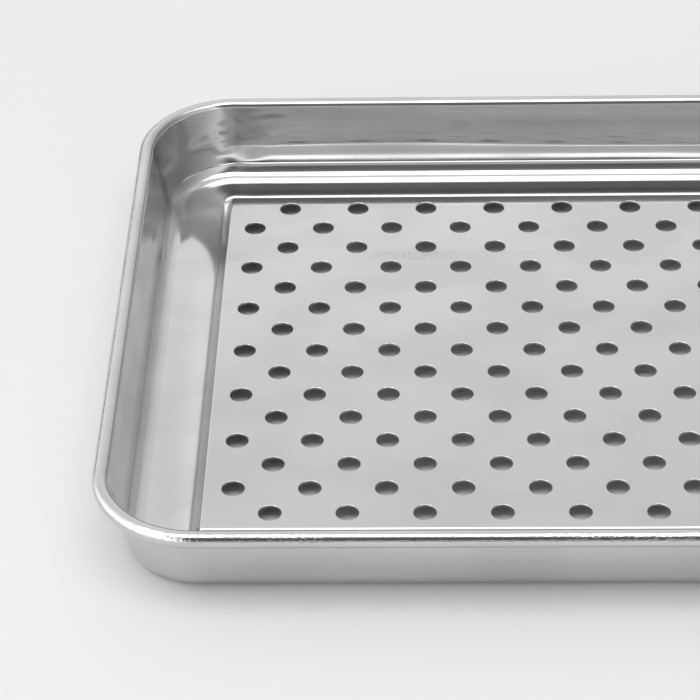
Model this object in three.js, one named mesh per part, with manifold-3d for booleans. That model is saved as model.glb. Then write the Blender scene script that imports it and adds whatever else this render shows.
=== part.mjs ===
// Perforated baking tray in stainless steel. One sheet is pressed into a raised, perforated
// floor, a drain channel round it and low sloping walls, and its edge is rolled outwards
// round a steel wire that keeps the rim straight.
// Millimetres, +Z up. The origin is the centre of the face that the tray stands on, the long
// side runs along X, and the tray is the same on both sides of the XZ and YZ planes.
import * as THREE from "three";
import { mergeVertices } from "three/addons/utils/BufferGeometryUtils.js";
import Module from "manifold-3d";

// Overall, over the rolled rim
const trayLength = 368.4;
const trayDepth = 205.2;
const trayHeight = 23.4;

// Sheet and rim
const sheetThickness = 0.6;
const rollRadius = 2.2; // outside of the roll
const rollSweep = THREE.MathUtils.degToRad(300); // how far the edge is rolled over
const wireGap = 0.3; // all round the wire, inside the roll

// Perforation: straight rows, every second one shifted by half a pitch
const holeDiameter = 6;
const holePitch = 20; // along a row
const rowSpacing = 10;
const holeMargin = 5.4; // least distance from a hole's centre to the edge of the flat floor

// Pressing. All bends turn round four corner centres, so each line of the tray is a
// rectangle with rounded corners, at a constant distance outside those centres.
const floorEdge = 0.4; // distance at which the flat floor starts to bend down
const stepDrop = 3.7; // height of the floor above the channel
const stepSlope = THREE.MathUtils.degToRad(42); // just outside the flat floor
const crestRadius = 1.4; // bend between floor and step
const bendRadius = 2.5; // bend between step and dish
const dishSlope = THREE.MathUtils.degToRad(18); // where the dish meets that bend
const dishRadius = 26; // wide curve that runs down into the channel
const channelWidth = 3.2; // flat bottom of the channel, which the tray stands on
const wallFootRadius = 4.8; // inside bend between channel and wall
const wallSlope = THREE.MathUtils.degToRad(10.5); // from vertical, leaning outwards

// Facets
const crestFacets = 2;
const bendFacets = 2;
const dishFacets = 3;
const footFacets = 4;
const rollFacets = 12;
const wireSides = 8;
const cornerFacets = 6;
const holeSides = 8;

const wasm = await Module();
wasm.setup();

const channelTop = sheetThickness;
const floorTop = channelTop + stepDrop;
const bendsDrop =
  crestRadius * (1 - Math.cos(stepSlope)) +
  bendRadius * (Math.cos(dishSlope) - Math.cos(stepSlope)) +
  dishRadius * (1 - Math.cos(dishSlope));
const bendsRun =
  crestRadius * Math.sin(stepSlope) +
  bendRadius * (Math.sin(stepSlope) - Math.sin(dishSlope)) +
  dishRadius * Math.sin(dishSlope);
const straightRun = (stepDrop - bendsDrop) / Math.tan(stepSlope);
const channelStart = floorEdge + bendsRun + straightRun;
const channelEnd = channelStart + channelWidth;
const rollCentreHeight = trayHeight - rollRadius;
const wireRadius = rollRadius - sheetThickness - wireGap;

// A profile point is a Vector2: x is the distance outside the corner centres, y the height.
const point = (x, y) => new THREE.Vector2(x, y);

// Points on an arc from one angle to another, both ends included.
function arc(centre, radius, from, to, facets) {
  return Array.from({ length: facets + 1 }, (_, i) => {
    const angle = from + ((to - from) * i) / facets;
    return point(centre.x + radius * Math.cos(angle), centre.y + radius * Math.sin(angle));
  });
}

// Where the roll's centre lies: the wall runs up at its slope from the foot bend and meets
// the outside of the roll as a tangent.
function rollCentre() {
  const footTopX = channelEnd + wallFootRadius * Math.cos(wallSlope);
  const footTopY = channelTop + wallFootRadius * (1 - Math.sin(wallSlope));
  const meetY = rollCentreHeight + rollRadius * Math.sin(wallSlope);
  const meetX = footTopX + (meetY - footTopY) * Math.tan(wallSlope);
  return point(meetX + rollRadius * Math.cos(wallSlope), rollCentreHeight);
}

const rimReach = rollCentre().x + rollRadius;
const cornerX = trayLength / 2 - rimReach;
const cornerY = trayDepth / 2 - rimReach;

// One face of the sheet, from the floor's edge to the tip of the roll. inset is 0 for the
// upper face and the sheet's thickness for the lower one.
function sheetFace(inset) {
  const up = Math.PI / 2;
  const crest = point(floorEdge, floorTop - crestRadius);
  const dish = point(channelStart, channelTop + dishRadius);
  const bend = point(
    dish.x - (dishRadius - bendRadius) * Math.sin(dishSlope),
    dish.y - (dishRadius - bendRadius) * Math.cos(dishSlope),
  );
  const foot = point(channelEnd, channelTop + wallFootRadius);
  const rollStart = Math.PI - wallSlope;
  return [
    ...arc(crest, crestRadius - inset, up, up - stepSlope, crestFacets),
    ...arc(bend, bendRadius + inset, -up - stepSlope, -up - dishSlope, bendFacets),
    ...arc(dish, dishRadius + inset, -up - dishSlope, -up, dishFacets).slice(1),
    ...arc(foot, wallFootRadius + inset, -up, -wallSlope, footFacets),
    ...arc(rollCentre(), rollRadius - inset, rollStart, rollStart - rollSweep, rollFacets),
  ];
}

// The closed outline of a round section.
function roundSection(centre, radius, sides) {
  return arc(centre, radius, 0, 2 * Math.PI, sides).slice(0, -1);
}

// Carries a closed profile, listed anticlockwise, round the rectangle of corner centres.
function sweepRound(profile) {
  const corners = [
    [cornerX, cornerY],
    [-cornerX, cornerY],
    [-cornerX, -cornerY],
    [cornerX, -cornerY],
  ];
  const stations = corners.flatMap(([x, y], corner) =>
    Array.from({ length: cornerFacets + 1 }, (_, i) => {
      const angle = (Math.PI / 2) * (corner + i / cornerFacets);
      return { x, y, outX: Math.cos(angle), outY: Math.sin(angle) };
    }),
  );
  const positions = stations.flatMap(({ x, y, outX, outY }) =>
    profile.flatMap((p) => [x + p.x * outX, y + p.x * outY, p.y]),
  );
  const count = profile.length;
  const indices = stations.flatMap((_, s) => {
    const here = s * count;
    const next = ((s + 1) % stations.length) * count;
    return profile.flatMap((__, p) => {
      const q = (p + 1) % count;
      return [here + p, next + p, next + q, here + p, next + q, here + q];
    });
  });
  const geometry = new THREE.BufferGeometry();
  geometry.setAttribute("position", new THREE.Float32BufferAttribute(positions, 3));
  geometry.setIndex(indices);
  return geometry;
}

// How many holes fit between margins on a floor of the given half size, at a spacing.
function holesThatFit(cornerDistance, spacing) {
  const room = 2 * (cornerDistance + floorEdge - holeMargin);
  return Math.floor(room / spacing + 1e-6) + 1;
}

// Centres of all holes in the floor. The outermost rows are short ones.
function holeCentres() {
  const rowCount = holesThatFit(cornerY, rowSpacing);
  const longRow = holesThatFit(cornerX, holePitch);
  return Array.from({ length: rowCount }, (_, row) => {
    const count = longRow - 1 + (row % 2);
    const y = (row - (rowCount - 1) / 2) * rowSpacing;
    return Array.from({ length: count }, (__, i) => point((i - (count - 1) / 2) * holePitch, y));
  }).flat();
}

// The flat floor with its holes, reaching into the sheet's bend by overlap.
function floorGeometry(overlap) {
  const halfX = cornerX + overlap;
  const halfY = cornerY + overlap;
  const outline = [
    point(-halfX, -halfY),
    point(halfX, -halfY),
    point(halfX, halfY),
    point(-halfX, halfY),
  ];
  const shape = new THREE.Shape(outline);
  for (const centre of holeCentres()) {
    shape.holes.push(new THREE.Path(roundSection(centre, holeDiameter / 2, holeSides).reverse()));
  }
  const geometry = new THREE.ExtrudeGeometry(shape, { depth: sheetThickness, bevelEnabled: false });
  return geometry.translate(0, 0, floorTop - sheetThickness);
}

function solidOf(geometry) {
  const bare = geometry.clone();
  bare.deleteAttribute("normal");
  bare.deleteAttribute("uv");
  const merged = mergeVertices(bare);
  return new wasm.Manifold(
    new wasm.Mesh({
      numProp: 3,
      vertProperties: new Float32Array(merged.attributes.position.array),
      triVerts: new Uint32Array(merged.index.array),
    }),
  );
}

function geometryOf(solid) {
  const mesh = solid.getMesh();
  const geometry = new THREE.BufferGeometry();
  geometry.setAttribute("position", new THREE.BufferAttribute(mesh.vertProperties, 3));
  geometry.setIndex(new THREE.BufferAttribute(mesh.triVerts, 1));
  geometry.computeVertexNormals();
  return geometry;
}

// The pressed sheet: floor, channel, walls and roll in one piece.
function pressedTray() {
  const upper = sheetFace(0);
  const lower = sheetFace(sheetThickness).reverse();
  const innerEdge = [point(0, floorTop - sheetThickness), point(0, floorTop)];
  const formed = sweepRound([...innerEdge, ...upper, ...lower].reverse());
  const overlap = floorEdge / 2;
  return geometryOf(solidOf(formed).add(solidOf(floorGeometry(overlap))));
}

// The wire inside the roll, butted and welded into one ring.
function rimWire() {
  return sweepRound(roundSection(rollCentre(), wireRadius, wireSides));
}

function named(name, geometry, material) {
  const mesh = new THREE.Mesh(geometry, material);
  mesh.name = name;
  return mesh;
}

const polishedStainless = new THREE.MeshStandardMaterial({
  color: 0xc4c5c6,
  metalness: 1,
  roughness: 0.16,
});
const drawnWire = new THREE.MeshStandardMaterial({
  color: 0x9a9b9c,
  metalness: 1,
  roughness: 0.4,
});

const tray = new THREE.Group();
tray.add(named("pressed_tray", pressedTray(), polishedStainless));
tray.add(named("rim_wire", rimWire(), drawnWire));

export default tray;
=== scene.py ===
import math
import bpy
import numpy as np
from mathutils import Matrix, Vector
from mathutils.geometry import delaunay_2d_cdt


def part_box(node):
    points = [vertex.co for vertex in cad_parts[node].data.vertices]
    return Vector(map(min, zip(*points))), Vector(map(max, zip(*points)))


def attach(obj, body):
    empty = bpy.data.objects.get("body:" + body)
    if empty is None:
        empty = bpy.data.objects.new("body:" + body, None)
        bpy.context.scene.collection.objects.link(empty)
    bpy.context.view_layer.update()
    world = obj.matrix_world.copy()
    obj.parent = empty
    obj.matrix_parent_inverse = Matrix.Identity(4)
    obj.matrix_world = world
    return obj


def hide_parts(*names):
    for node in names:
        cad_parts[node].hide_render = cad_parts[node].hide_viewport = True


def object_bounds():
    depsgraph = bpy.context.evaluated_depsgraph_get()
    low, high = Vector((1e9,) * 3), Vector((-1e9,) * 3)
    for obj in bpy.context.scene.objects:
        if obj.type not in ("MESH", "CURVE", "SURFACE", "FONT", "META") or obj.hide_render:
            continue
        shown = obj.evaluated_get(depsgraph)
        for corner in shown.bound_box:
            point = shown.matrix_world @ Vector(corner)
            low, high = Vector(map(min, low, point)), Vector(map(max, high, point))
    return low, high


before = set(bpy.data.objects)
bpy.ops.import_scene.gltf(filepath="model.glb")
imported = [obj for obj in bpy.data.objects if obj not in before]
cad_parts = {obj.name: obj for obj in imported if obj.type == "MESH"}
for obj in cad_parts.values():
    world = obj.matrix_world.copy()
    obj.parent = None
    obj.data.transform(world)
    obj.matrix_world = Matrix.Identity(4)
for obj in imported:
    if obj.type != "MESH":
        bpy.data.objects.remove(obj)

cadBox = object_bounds()
mm = 0.001
micron = 1e-6
tolerance = 1e-6  # below this, two lengths in mm count as the same


# small helpers

def toLinear(hexColour):
    # sRGB hex to linear light, by the standard curve
    srgb = np.array([int(hexColour[i:i + 2], 16) for i in (1, 3, 5)]) / 255
    linear = np.where(srgb <= 0.04045, srgb / 12.92, ((srgb + 0.055) / 1.055) ** 2.4)
    return (*linear.tolist(), 1.0)


def addNode(tree, kind, settings=None, inputs=None):
    # a node with its settings, and its inputs as plain values or as sockets to link from
    node = tree.nodes.new(kind)
    for key, value in (settings or {}).items():
        setattr(node, key, value)
    for key, value in (inputs or {}).items():
        if isinstance(value, bpy.types.NodeSocket):
            tree.links.new(value, node.inputs[key])
        else:
            node.inputs[key].default_value = value
    return node


# camera, seen from the front at a long lens

cameraSet = {
    "azimuth": -2.27,  # degrees, 0 looks along +Y
    "elevation": 36.65,
    "roll": -1.67,
    "distance": 816.0,  # mm from the aim
    "aimFromLeft": 63.3,  # mm inside the tray's left end
    "aimHeight": 4.3,
    "lens": 151.9,
    "sensor": 36.0,
    "clip": (0.01, 50.0),  # m
}


def placeCamera(s):
    # looks at a point on the floor from azimuth and elevation, then rolls about the view axis
    azimuth, elevation, roll = np.radians([s["azimuth"], s["elevation"], s["roll"]])
    forward = np.array([math.sin(azimuth) * math.cos(elevation),
                        math.cos(azimuth) * math.cos(elevation),
                        -math.sin(elevation)])
    level = np.array([math.cos(azimuth), -math.sin(azimuth), 0.0])
    upright = np.cross(level, forward)
    right = level * math.cos(roll) + upright * math.sin(roll)
    up = upright * math.cos(roll) - level * math.sin(roll)
    aim = np.array([cadBox[0].x + s["aimFromLeft"] * mm, 0.0, s["aimHeight"] * mm])
    data = bpy.data.cameras.new("camera")
    data.lens = s["lens"]
    data.sensor_width = s["sensor"]
    data.clip_start, data.clip_end = s["clip"]
    camera = bpy.data.objects.new("camera", data)
    turn = Matrix([[*row] for row in np.column_stack([right, up, -forward])]).to_4x4()
    camera.matrix_world = Matrix.Translation(aim - forward * s["distance"] * mm) @ turn
    bpy.context.scene.collection.objects.link(camera)
    bpy.context.scene.camera = camera


placeCamera(cameraSet)
print("stage 2: camera")


# the pressed sheet's section: distance outside the corner centres against height, in mm

sheetSet = {
    "thickness": 0.6,
    "floorEdge": 0.4,  # where the flat floor starts to bend down
    "stepDrop": 3.7,
    "stepSlope": 42.0,  # degrees from level, just outside the flat floor
    "crestRadius": 1.4,
    "bendRadius": 2.5,  # between the step and the dish
    "dishSlope": 18.0,  # where the dish meets that bend
    "dishRadius": 26.0,  # runs down into the channel
    "channelWidth": 3.2,  # the flat bottom
    "footRadius": 4.8,
    "wallSlope": 10.5,  # degrees from upright
    "rollRadius": 2.2,
    "rollSweep": 300.0,
    # where the surface finishes change over
    "drawnBefore": 2.0,  # the drawn wall's marks fade in this far inside the channel's end
    "drawnPast": 0.8,  # and are full this share of the foot bend past it
    "peelAngles": (85.0, -50.0),  # on the roll, from level outwards
    "crestSteps": 6,
    "bendSteps": 4,
    "dishSteps": 12,
    "footSteps": 14,
    "rollSteps": 36,
    "capSteps": 4,
    "cornerSteps": 18,
    "longSteps": 16,
    "shortSteps": 8,
}


def arc(centre, radius, start, stop, steps, side):
    # circle points centre + radius (cos a, sin a); the normal is the same direction times side
    angle = np.radians(np.linspace(start, stop, steps + 1))
    way = np.column_stack([np.cos(angle), np.sin(angle)])
    return np.array(centre) + radius * way, side * way


def sheetSection(s, height):
    # the upper face as tangent arcs and straights: crest of the step, bend at its foot, dish,
    # foot of the wall, roll; then a half circle round the cut edge, and the lower face one
    # thickness below. The marks say where the surface finishes change over.
    step, dishEnd = math.radians(s["stepSlope"]), math.radians(s["dishSlope"])
    floorTop = s["thickness"] + s["stepDrop"]
    bends = s["crestRadius"] * (1 - math.cos(step)) + s["dishRadius"] * (1 - math.cos(dishEnd))
    bends += s["bendRadius"] * (math.cos(dishEnd) - math.cos(step))
    straight = (s["stepDrop"] - bends) / math.tan(step)
    run = s["crestRadius"] * math.sin(step) + s["dishRadius"] * math.sin(dishEnd) + straight
    run += s["bendRadius"] * (math.sin(step) - math.sin(dishEnd))
    crest = (s["floorEdge"], floorTop - s["crestRadius"])
    dish = np.array([s["floorEdge"] + run, s["thickness"] + s["dishRadius"]])
    inward = np.array([-math.sin(dishEnd), -math.cos(dishEnd)])
    bend = dish + (s["dishRadius"] - s["bendRadius"]) * inward
    slope = math.radians(s["wallSlope"])
    channelEnd = s["floorEdge"] + run + s["channelWidth"]
    foot = (channelEnd, s["thickness"] + s["footRadius"])
    footTop = np.array(foot) + s["footRadius"] * np.array([math.cos(slope), -math.sin(slope)])
    rollHeight = height - s["rollRadius"]
    meetHeight = rollHeight + s["rollRadius"] * math.sin(slope)
    meet = footTop[0] + (meetHeight - footTop[1]) * math.tan(slope)
    rollCentre = (meet + s["rollRadius"] * math.cos(slope), rollHeight)
    rollStart = 180 - s["wallSlope"]
    rollStop = rollStart - s["rollSweep"]
    parts = [
        arc(crest, s["crestRadius"], 90, 90 - s["stepSlope"], s["crestSteps"], 1),
        arc(bend, s["bendRadius"], -90 - s["stepSlope"], -90 - s["dishSlope"], s["bendSteps"], -1),
        arc(dish, s["dishRadius"], -90 - s["dishSlope"], -90, s["dishSteps"], -1),
        arc(foot, s["footRadius"], -90, -s["wallSlope"], s["footSteps"], -1),
        arc(rollCentre, s["rollRadius"], rollStart, rollStop, s["rollSteps"], 1),
    ]
    upper = np.vstack([p for p, n in parts])
    # bend and dish touch, so the second of the two equal points there is left out
    fresh = np.r_[True, np.linalg.norm(np.diff(upper, axis=0), axis=1) > tolerance]
    upper, normal = upper[fresh], np.vstack([n for p, n in parts])[fresh]
    length = np.r_[0, np.cumsum(np.linalg.norm(np.diff(upper, axis=0), axis=1))]
    perDegree = math.radians(s["rollRadius"])
    marks = [channelEnd - s["drawnBefore"], channelEnd + s["drawnPast"] * s["footRadius"]]
    rollFrom = length[-s["rollSteps"] - 1]
    marks += [rollFrom + perDegree * (rollStart - angle) for angle in s["peelAngles"]]
    half = s["thickness"] / 2
    cap = arc(upper[-1] - half * normal[-1], half, rollStop, rollStop - 180, s["capSteps"], 1)
    lower = upper - s["thickness"] * normal
    points = np.vstack([upper, cap[0][1:-1], lower[::-1]])
    normals = np.vstack([normal, cap[1][1:-1], -normal[::-1]])
    return points, normals, rollCentre, floorTop, marks


def stations(s, cornerX, cornerY):
    # places round the rectangle of corner centres: a base point and the outward direction
    corners = np.array([(1, 1), (-1, 1), (-1, -1), (1, -1)]) * [cornerX, cornerY]
    bases, ways = [], []
    for corner, here in enumerate(corners):
        there = corners[(corner + 1) % len(corners)]
        angle = np.radians(90 * corner + np.linspace(0, 90, s["cornerSteps"] + 1))
        count = s["longSteps"] if corner % 2 == 0 else s["shortSteps"]
        share = np.linspace(0, 1, count + 1)[1:-1, None]
        bases += [np.tile(here, (len(angle), 1)), here + share * (there - here)]
        way = np.column_stack([np.cos(angle), np.sin(angle)])
        ways += [way, np.tile(way[-1], (len(share), 1))]
    base, way = np.vstack(bases), np.vstack(ways)
    return np.vstack([base, base[:1]]), np.vstack([way, way[:1]])


def sweep(points, normals, base, way):
    # every section point carried to every station: base + distance * direction, height as it is
    place = np.empty((len(base), len(points), 3))
    place[..., :2] = base[:, None] + points[None, :, :1] * way[:, None]
    place[..., 2] = points[:, 1]
    normal = np.empty_like(place)
    normal[..., :2] = normals[None, :, :1] * way[:, None]
    normal[..., 2] = normals[:, 1]
    middle = place[:, len(points) // 2, :2]
    along = np.r_[0, np.cumsum(np.linalg.norm(np.diff(middle, axis=0), axis=1))]
    across = np.r_[0, np.cumsum(np.linalg.norm(np.diff(points, axis=0), axis=1))]
    uv = np.stack(np.meshgrid(along, across, indexing="ij"), -1)
    return place, normal, uv


def gridFaces(rows, columns):
    # one quad for each step of a rows by columns grid of points
    i, j = np.meshgrid(np.arange(rows - 1), np.arange(columns - 1), indexing="ij")
    first = (i * columns + j).ravel()
    return np.column_stack([first, first + 1, first + columns + 1, first + columns])


def makePiece(name, blocks, materials):
    # joins blocks of (points, normals, uv, faces, material number) in mm where points meet;
    # each corner of a face keeps the normal of its own block, so creases stay crisp
    points = np.vstack([b[0].reshape(-1, 3) for b in blocks])
    normals = np.vstack([b[1].reshape(-1, 3) for b in blocks])
    uv = np.vstack([b[2].reshape(-1, 2) for b in blocks])
    starts = np.cumsum([0] + [len(b[0].reshape(-1, 3)) for b in blocks])
    faces = [b[3] + start for b, start in zip(blocks, starts)]
    joined, index = np.unique(np.round(points, 5), axis=0, return_inverse=True)
    index = index.ravel()
    corners = np.concatenate([f.ravel() for f in faces])
    mesh = bpy.data.meshes.new(name)
    mesh.from_pydata((joined * mm).tolist(), [], [q for f in faces for q in index[f].tolist()])
    mesh.polygons.foreach_set("use_smooth", np.ones(len(mesh.polygons), bool))
    layer = mesh.uv_layers.new(name="sheet")
    layer.data.foreach_set("uv", (uv[corners] * mm).ravel())
    mesh.normals_split_custom_set(normals[corners].tolist())
    for material in materials:
        mesh.materials.append(material)
    numbers = np.concatenate([np.full(len(b[3]), b[4]) for b in blocks])
    mesh.polygons.foreach_set("material_index", numbers)
    piece = bpy.data.objects.new(name, mesh)
    bpy.context.scene.collection.objects.link(piece)
    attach(piece, "root")
    return piece


# the perforation: straight rows, every second one shifted by half a pitch

holeSet = {
    "diameter": 6.0,
    "pitch": 20.0,
    "rowSpacing": 10.0,
    "edgeMargin": 5.4,  # least distance from a hole's centre to the floor's edge
    "lip": 0.2,  # radius that the punch leaves on the upper edge, outside the diameter
    "sides": 24,
    "lipSteps": 3,
}


def holeCentres(s, floorHalfX, floorHalfY):
    # as many rows and holes as fit inside the margin, centred
    rows = int((floorHalfY - s["edgeMargin"]) * 2 / s["rowSpacing"] + tolerance) + 1
    longRow = int((floorHalfX - s["edgeMargin"]) * 2 / s["pitch"] + tolerance) + 1
    centres = []
    for row in range(rows):
        count = longRow - 1 + row % 2
        x = (np.arange(count) - (count - 1) / 2) * s["pitch"]
        y = (row - (rows - 1) / 2) * s["rowSpacing"]
        centres.append(np.column_stack([x, np.full(count, y)]))
    return np.vstack(centres)


def perforatedFloor(s, edge, centres, floorTop, thickness):
    # both faces are one flat triangulation between the floor's edge and rings round the holes;
    # each hole is a ring carried down a quarter round lip and a straight wall
    tiny = 1e-3  # mm, for telling a ring's own points and faces
    angle = np.linspace(0, 2 * np.pi, s["sides"] + 1)[:-1]
    ring = np.column_stack([np.cos(angle), np.sin(angle)])
    radius = s["diameter"] / 2
    outer = radius + s["lip"]
    loops = (centres[:, None] + outer * ring).reshape(-1, 2)
    flat = np.vstack([edge, loops])
    edgeLoop = np.column_stack([np.arange(len(edge)), np.roll(np.arange(len(edge)), -1)])
    around = np.arange(len(loops)).reshape(-1, s["sides"]) + len(edge)
    holeLoops = np.stack([around, np.roll(around, -1, axis=1)], -1).reshape(-1, 2)
    loopEdges = np.vstack([edgeLoop, holeLoops]).tolist()
    found = delaunay_2d_cdt(flat.tolist(), loopEdges, [], 1, tolerance)
    vertices = np.array([[*v] for v in found[0]])
    triangles = np.array(found[2])
    middle = vertices[triangles].mean(1)
    nearest = np.linalg.norm(middle[:, None] - centres[None], axis=2).min(1)
    triangles = triangles[nearest > outer * math.cos(math.pi / s["sides"]) - tiny]
    distance = np.linalg.norm(vertices[:, None] - centres[None], axis=2)
    own = centres[distance.argmin(1)]
    onRing = np.abs(distance.min(1) - outer) < tiny
    lowerPlace = vertices.copy()
    pulled = (vertices - own) * (radius / outer) + own
    lowerPlace[onRing] = pulled[onRing]
    top = np.column_stack([vertices, np.full(len(vertices), floorTop)])
    bottom = np.column_stack([lowerPlace, np.full(len(vertices), floorTop - thickness)])
    up = np.tile([0.0, 0.0, 1.0], (len(vertices), 1))
    blocks = [(top, up, vertices, triangles, 0), (bottom, -up, vertices, triangles[:, ::-1], 0)]
    lean = np.radians(np.linspace(0, 90, s["lipSteps"] + 1))
    reach = np.r_[radius + s["lip"] * (1 - np.sin(lean)), radius]
    height = np.r_[floorTop - s["lip"] * (1 - np.cos(lean)), floorTop - thickness]
    tilt = np.r_[lean, lean[-1]]
    turn = np.vstack([ring, ring[:1]])
    wall = np.empty((len(reach), len(turn), 3))
    wall[..., :2] = reach[:, None, None] * turn
    wall[..., 2] = height[:, None]
    normal = np.empty_like(wall)
    normal[..., :2] = -np.sin(tilt)[:, None, None] * turn
    normal[..., 2] = np.cos(tilt)[:, None]
    shift = np.zeros((len(centres), 1, 1, 3))
    shift[..., :2] = centres[:, None, None]
    walls = (wall + shift).reshape(-1, 3)
    allNormals = np.tile(normal.reshape(-1, 3), (len(centres), 1))
    first = (np.arange(len(centres)) * wall[..., 0].size)[:, None, None]
    faces = gridFaces(*wall.shape[:2])
    lip = len(faces) * s["lipSteps"] // (s["lipSteps"] + 1)
    for some, material in ((faces[:lip], 0), (faces[lip:], 1)):
        blocks.append((walls, allNormals, walls[:, :2], (some + first).reshape(-1, 4), material))
    return blocks


# small shader helpers

noiseRange = (0.3, 0.7)  # where nearly all values of a noise lie


def startMaterial(name):
    material = bpy.data.materials.new(name)
    material.use_nodes = True
    material.node_tree.nodes.clear()
    return material, material.node_tree


def maths(tree, operation, *values):
    inputs = {i: v for i, v in enumerate(values)}
    return addNode(tree, "ShaderNodeMath", {"operation": operation}, inputs).outputs[0]


def ramped(tree, value, low, high, out=(0.0, 1.0), kind="SMOOTHSTEP"):
    # value carried from low..high to out, held at the ends
    node = addNode(tree, "ShaderNodeMapRange", {"interpolation_type": kind}, {
        "Value": value, "From Min": low, "From Max": high, "To Min": out[0], "To Max": out[1]})
    return node.outputs["Result"]


def grain(tree, place, sizes, detail=2.0):
    # noise whose features measure sizes (mm) along the three axes of place, which is in metres;
    # detail is how many finer octaves it has
    scale = [1 / (size * mm) for size in sizes]
    stretched = addNode(tree, "ShaderNodeVectorMath", {"operation": "MULTIPLY"},
                        {0: place, 1: scale})
    noise = addNode(tree, "ShaderNodeTexNoise", None, {
        "Vector": stretched.outputs[0], "Scale": 1.0, "Detail": detail})
    return noise.outputs["Fac"]


def bumped(tree, height, depth, strength=1.0, normal=None):
    # depth in micrometres for a full step of the height
    inputs = {"Height": height, "Distance": depth * micron, "Strength": strength}
    if normal is not None:
        inputs["Normal"] = normal
    return addNode(tree, "ShaderNodeBump", None, inputs).outputs["Normal"]


def finishMetal(material, tree, inputs):
    shader = addNode(tree, "ShaderNodeBsdfPrincipled", None, {"Metallic": 1.0, **inputs})
    addNode(tree, "ShaderNodeOutputMaterial", None, {"Surface": shader.outputs["BSDF"]})
    return material


# cold-rolled stainless sheet, bright annealed, then pressed in a polished die. The floor keeps
# the mill finish, a mirror with a slight haze and a faint grain along the tray; the walls are
# drawn over the die, which leaves long shallow ridges and smears what they reflect; the corners
# keep shallow buckles, and the rolled edge a fine orange peel on its outer half. Sizes and fades
# are in mm, depths in micrometres, and ranges are of the noise.

sheetFinish = {
    "colour": "#D3D3D2",
    "wipedColour": "#CCCCCC",
    "wipedRange": (0.4, 0.65),
    "wipedRoughness": (0.85, 1.2),  # factors, where it was wiped least and most
    "floorRoughness": 0.075,
    "wallRoughness": 0.13,
    "smear": 0.95,
    "rollClean": 0.7,  # share of the draw marks that rolling has flattened on the rim
    "rollFade": 1.5,
    "cornerFade": (-14.0, 4.0),  # from the corner centres outwards
    "peelFade": (0.6, 1.0),  # at the top and at the lower end of the peel
    "peelPatch": (34.0, 34.0, 1.0),
    "peelPatchRange": (0.42, 0.60),
    "peelLeast": 0.25,
    "millGrain": (14.0, 0.35, 1.0),
    "millDepth": 0.5,
    "wipeSize": (38.0, 22.0, 20.0),
    "wallWave": (13.0, 30.0, 1.0),
    "wallWaveDepth": 22.0,
    "dieLine": (0.35, 9.0, 1.0),
    "dieLineDepth": 0.9,
    "ridge": (120.0, 6.5, 1.0),
    "ridgeDepth": 330.0,
    "buckle": (8.0, 9.0, 6.0),
    "buckleDepth": 420.0,
    "peel": (0.9, 0.55, 1.0),
    "peelDepth": 130.0,
}


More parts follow.
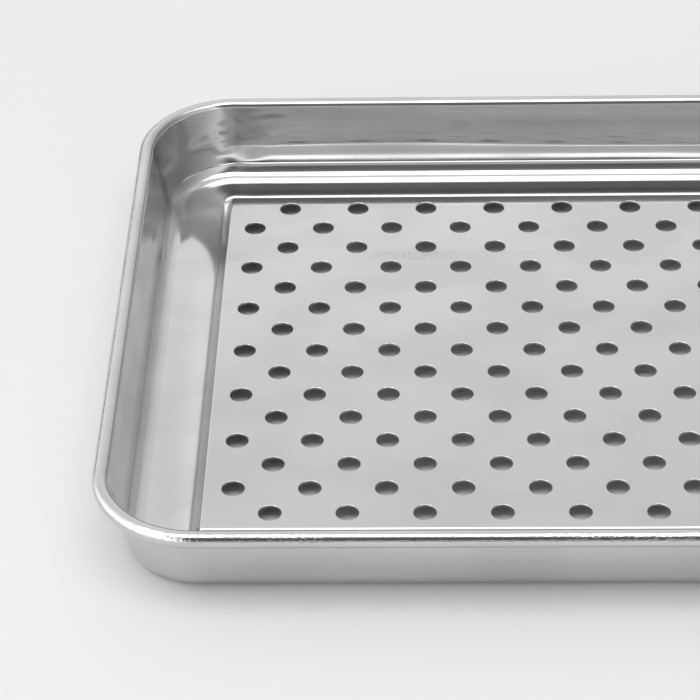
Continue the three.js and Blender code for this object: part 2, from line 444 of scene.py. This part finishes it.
def pressedStainless(s, cornerX, cornerY, drawnFrom, drawnTo, peelStart, peelEnd):
    material, tree = startMaterial("pressedStainlessSheet")
    place = addNode(tree, "ShaderNodeTexCoord").outputs["Object"]
    sheet = addNode(tree, "ShaderNodeUVMap", {"uv_map": "sheet"}).outputs["UV"]
    along = addNode(tree, "ShaderNodeSeparateXYZ", None, {0: sheet}).outputs
    # distance outside the rectangle of corner centres, along each axis and in all; taking a
    # metre off the height leaves it out of the sum
    flat = addNode(tree, "ShaderNodeVectorMath", {"operation": "ABSOLUTE"}, {0: place}).outputs[0]
    over = addNode(tree, "ShaderNodeVectorMath", {"operation": "SUBTRACT"},
                   {0: flat, 1: (cornerX * mm, cornerY * mm, 1.0)}).outputs[0]
    out = addNode(tree, "ShaderNodeVectorMath", {"operation": "MAXIMUM"}, {0: over}).outputs[0]
    reach = addNode(tree, "ShaderNodeVectorMath", {"operation": "LENGTH"}, {0: out})
    reach = reach.outputs["Value"]
    overs = addNode(tree, "ShaderNodeSeparateXYZ", None, {0: over}).outputs
    rolled = ramped(tree, along[1], (peelStart - s["rollFade"]) * mm, peelStart * mm)
    drawn = ramped(tree, reach, drawnFrom * mm, drawnTo * mm)
    drawn = maths(tree, "SUBTRACT", drawn, maths(tree, "MULTIPLY", rolled, s["rollClean"]))
    near, far = (edge * mm for edge in s["cornerFade"])
    inCorner = maths(tree, "MULTIPLY", ramped(tree, overs[0], near, far),
                     ramped(tree, overs[1], near, far))
    inCorner = maths(tree, "MULTIPLY", inCorner, drawn)
    fadeIn, fadeOut = s["peelFade"]
    rising = ramped(tree, along[1], peelStart * mm, (peelStart + fadeIn) * mm)
    falling = ramped(tree, along[1], (peelEnd - fadeOut) * mm, peelEnd * mm, (1.0, 0.0))
    onRoll = maths(tree, "MULTIPLY", rising, falling)
    patchy = grain(tree, sheet, s["peelPatch"])
    patchy = ramped(tree, patchy, *s["peelPatchRange"], (s["peelLeast"], 1.0))
    onRoll = maths(tree, "MULTIPLY", onRoll, patchy)
    wiped = grain(tree, place, s["wipeSize"])
    colour = addNode(tree, "ShaderNodeMix", {"data_type": "RGBA"}, {
        "Factor": ramped(tree, wiped, *s["wipedRange"]), 6: toLinear(s["colour"]),
        7: toLinear(s["wipedColour"])}).outputs[2]
    rough = ramped(tree, drawn, 0, 1, (s["floorRoughness"], s["wallRoughness"]), "LINEAR")
    smudge = ramped(tree, wiped, *noiseRange, s["wipedRoughness"])
    rough = maths(tree, "MULTIPLY", rough, smudge)
    normal = bumped(tree, grain(tree, place, s["millGrain"], 3.0), s["millDepth"])
    normal = bumped(tree, grain(tree, sheet, s["wallWave"], 1.0), s["wallWaveDepth"], drawn, normal)
    normal = bumped(tree, grain(tree, sheet, s["dieLine"]), s["dieLineDepth"], drawn, normal)
    normal = bumped(tree, grain(tree, sheet, s["ridge"], 0.0), s["ridgeDepth"], drawn, normal)
    normal = bumped(tree, grain(tree, place, s["buckle"], 0.0), s["buckleDepth"], inCorner, normal)
    normal = bumped(tree, grain(tree, sheet, s["peel"]), s["peelDepth"], onRoll, normal)
    tangent = addNode(tree, "ShaderNodeTangent", {"direction_type": "UV_MAP", "uv_map": "sheet"})
    return finishMetal(material, tree, {
        "Base Color": colour,
        "Roughness": rough,
        "Anisotropic": maths(tree, "MULTIPLY", drawn, s["smear"]),
        "Tangent": tangent.outputs["Tangent"],
        "Normal": normal,
    })


# the punched wall of each hole: a burnished band under the lip, then torn metal, duller and
# darker, so each hole ends in a crisp grey line

shearSet = {
    "colour": "#C2C2C1",
    "burnishedShare": 0.62,  # of the thickness, from the top down
    "breakFade": 0.05,
    "burnished": 0.28,
    "torn": 0.55,
    "fracture": (0.12, 0.12, 0.05),
    "fractureDepth": 12.0,
}


def shearedSteel(s, breakHeight):
    material, tree = startMaterial("punchedStainlessEdge")
    place = addNode(tree, "ShaderNodeTexCoord").outputs["Object"]
    height = addNode(tree, "ShaderNodeSeparateXYZ", None, {0: place}).outputs[2]
    fade = s["breakFade"]
    torn = ramped(tree, height, (breakHeight + fade) * mm, (breakHeight - fade) * mm)
    rough = ramped(tree, torn, 0, 1, (s["burnished"], s["torn"]), "LINEAR")
    normal = bumped(tree, grain(tree, place, s["fracture"]), s["fractureDepth"], torn)
    return finishMetal(material, tree, {
        "Base Color": toLinear(s["colour"]), "Roughness": rough, "Normal": normal})


# cold-drawn wire, left as drawn: dull, with fine lines along it

wireSet = {
    "radius": 1.3,
    "sides": 20,
    "colour": "#A2A3A4",
    "roughness": 0.36,
    "lineRoughness": (0.8, 1.25),  # factors along and between the lines
    "line": (12.0, 0.12, 1.0),
    "lineDepth": 3.0,
}


def drawnWire(s):
    material, tree = startMaterial("drawnSteelWire")
    sheet = addNode(tree, "ShaderNodeUVMap", {"uv_map": "sheet"}).outputs["UV"]
    line = grain(tree, sheet, s["line"], 3.0)
    uneven = ramped(tree, line, *noiseRange, s["lineRoughness"])
    rough = maths(tree, "MULTIPLY", uneven, s["roughness"])
    return finishMetal(material, tree, {
        "Base Color": toLinear(s["colour"]), "Roughness": rough,
        "Normal": bumped(tree, line, s["lineDepth"])})


def buildTray():
    low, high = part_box("pressed_tray")
    points, normals, rollCentre, floorTop, marks = sheetSection(sheetSet, high.z / mm)
    reach = rollCentre[0] + sheetSet["rollRadius"]
    cornerX = high.x / mm - reach
    cornerY = high.y / mm - reach
    base, way = stations(sheetSet, cornerX, cornerY)
    place, normal, uv = sweep(points, normals, base, way)
    formed = (place, normal, uv, gridFaces(*place.shape[:2]), 0)
    edge = place[:-1, 0, :2]
    floorHalf = np.array([cornerX, cornerY]) + sheetSet["floorEdge"]
    centres = holeCentres(holeSet, *floorHalf)
    floor = perforatedFloor(holeSet, edge, centres, floorTop, sheetSet["thickness"])
    finish = pressedStainless(sheetFinish, cornerX, cornerY, *marks)
    breakHeight = floorTop - shearSet["burnishedShare"] * sheetSet["thickness"]
    sheared = shearedSteel(shearSet, breakHeight)
    tray = makePiece("pressedTray", [formed, *floor], [finish, sheared])
    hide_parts("pressed_tray")
    points, normals = arc(rollCentre, wireSet["radius"], 0, 360, wireSet["sides"], 1)
    place, normal, uv = sweep(points, normals, base, way)
    ring = (place, normal, uv, gridFaces(*place.shape[:2])[:, ::-1], 0)
    wire = makePiece("rimWire", [ring], [drawnWire(wireSet)])
    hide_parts("rim_wire")
    print("stage 3: tray", len(tray.data.polygons), "faces,", len(centres), "holes")


buildTray()


# studio: a pale paper table, one big soft box overhead and a room round it. Polished metal shows
# the room, so its brightness changes with the angle: dark near the camera and at the far horizon,
# bright overhead and behind.

studioSet = {
    "tableHex": "#D9D9D9",
    "tableClouded": "#D7D7D7",
    "paperCloud": (180.0, 180.0, 180.0),
    "paperRoughness": 0.9,
    "paperTooth": (0.5, 0.5, 0.5),
    "toothDepth": 6.0,
    "tableSize": 6.0,  # m, as are the soft box's size and place
    "boxPower": 12.0,
    "boxSize": (1.9, 0.85),
    "boxPlace": (-0.25, -0.30, 1.6),
    # radiance of the room against the angle from the near horizon over the zenith, in degrees
    "room": ((0, 0.35), (6, 0.35), (9, 0.60), (15, 0.60), (19, 0.14), (27, 0.10), (46, 0.14),
             (50, 0.22), (57, 0.22), (63, 0.85), (120, 0.95), (141, 0.88), (147, 1.04), (167, 0.95),
             (173, 0.35), (180, 0.15)),
    "sideLevel": 1.25,
    "sideTilt": (-0.45, -0.45),  # gain of the sides towards the right and towards the back
    "sideLean": -0.3,  # makes the sides reach nearer the middle in front than behind
    "sideFrom": (0.45, 0.62),
    "rightLoss": 0.55,
}


def buildTable(s):
    table = bpy.data.meshes.new("table")
    half = s["tableSize"] / 2
    table.from_pydata([(-half, -half, 0), (half, -half, 0), (half, half, 0), (-half, half, 0)],
                      [], [(0, 1, 2, 3)])
    surface, tree = startMaterial("mattPaper")
    place = addNode(tree, "ShaderNodeTexCoord").outputs["Object"]
    cloud = addNode(tree, "ShaderNodeMix", {"data_type": "RGBA"}, {
        "Factor": grain(tree, place, s["paperCloud"]), 6: toLinear(s["tableHex"]),
        7: toLinear(s["tableClouded"])}).outputs[2]
    shader = addNode(tree, "ShaderNodeBsdfPrincipled", None, {
        "Base Color": cloud,
        "Roughness": s["paperRoughness"],
        "Normal": bumped(tree, grain(tree, place, s["paperTooth"], 3.0), s["toothDepth"]),
    })
    addNode(tree, "ShaderNodeOutputMaterial", None, {"Surface": shader.outputs["BSDF"]})
    table.materials.append(surface)
    stage = bpy.data.objects.new("table", table)
    bpy.context.scene.collection.objects.link(stage)


def buildSoftBox(s):
    light = bpy.data.lights.new("softBox", "AREA")
    light.shape = "RECTANGLE"
    light.size, light.size_y = s["boxSize"]
    light.energy = s["boxPower"]
    lamp = bpy.data.objects.new("softBox", light)
    lamp.location = s["boxPlace"]
    bpy.context.scene.collection.objects.link(lamp)


def buildRoom(s):
    # radiance from the ramp over the angle in the plane of the camera's view, mixed with an even
    # level towards both sides
    world = bpy.data.worlds.new("room")
    bpy.context.scene.world = world
    world.use_nodes = True
    tree = world.node_tree
    tree.nodes.clear()
    where = addNode(tree, "ShaderNodeTexCoord").outputs["Generated"]
    toRight, toBack, toTop = addNode(tree, "ShaderNodeSeparateXYZ", None, {0: where}).outputs
    angle = maths(tree, "ARCTAN2", toTop, maths(tree, "MULTIPLY", toBack, -1.0))
    share = maths(tree, "DIVIDE", angle, math.pi)
    ramp = addNode(tree, "ShaderNodeValToRGB", None, {0: share})
    stops = ramp.color_ramp.elements
    for degrees, level in s["room"][1:-1]:
        stops.new(degrees / 180)
    for stop, (degrees, level) in zip(stops, s["room"]):
        stop.position = degrees / 180
        stop.color = (level, level, level, 1)
    right = maths(tree, "MAXIMUM", toRight, 0.0)
    strength = maths(tree, "MULTIPLY_ADD", right, -s["rightLoss"], 1.0)
    wide = maths(tree, "ABSOLUTE", toRight)
    wide = maths(tree, "MULTIPLY_ADD", toBack, s["sideLean"], wide)
    tilted = maths(tree, "MULTIPLY_ADD", toRight, s["sideTilt"][0], 1.0)
    tilted = maths(tree, "MULTIPLY_ADD", toBack, s["sideTilt"][1], tilted)
    level = addNode(tree, "ShaderNodeMix", {"data_type": "RGBA"}, {
        "Factor": ramped(tree, wide, *s["sideFrom"]), 6: ramp.outputs["Color"],
        7: maths(tree, "MULTIPLY", tilted, s["sideLevel"])}).outputs[2]
    glow = addNode(tree, "ShaderNodeBackground", None, {"Color": level, "Strength": strength})
    addNode(tree, "ShaderNodeOutputWorld", None, {"Surface": glow.outputs["Background"]})
    bpy.context.scene.view_settings.view_transform = "Standard"


buildTable(studioSet)
buildSoftBox(studioSet)
buildRoom(studioSet)
print("stage 4: studio")
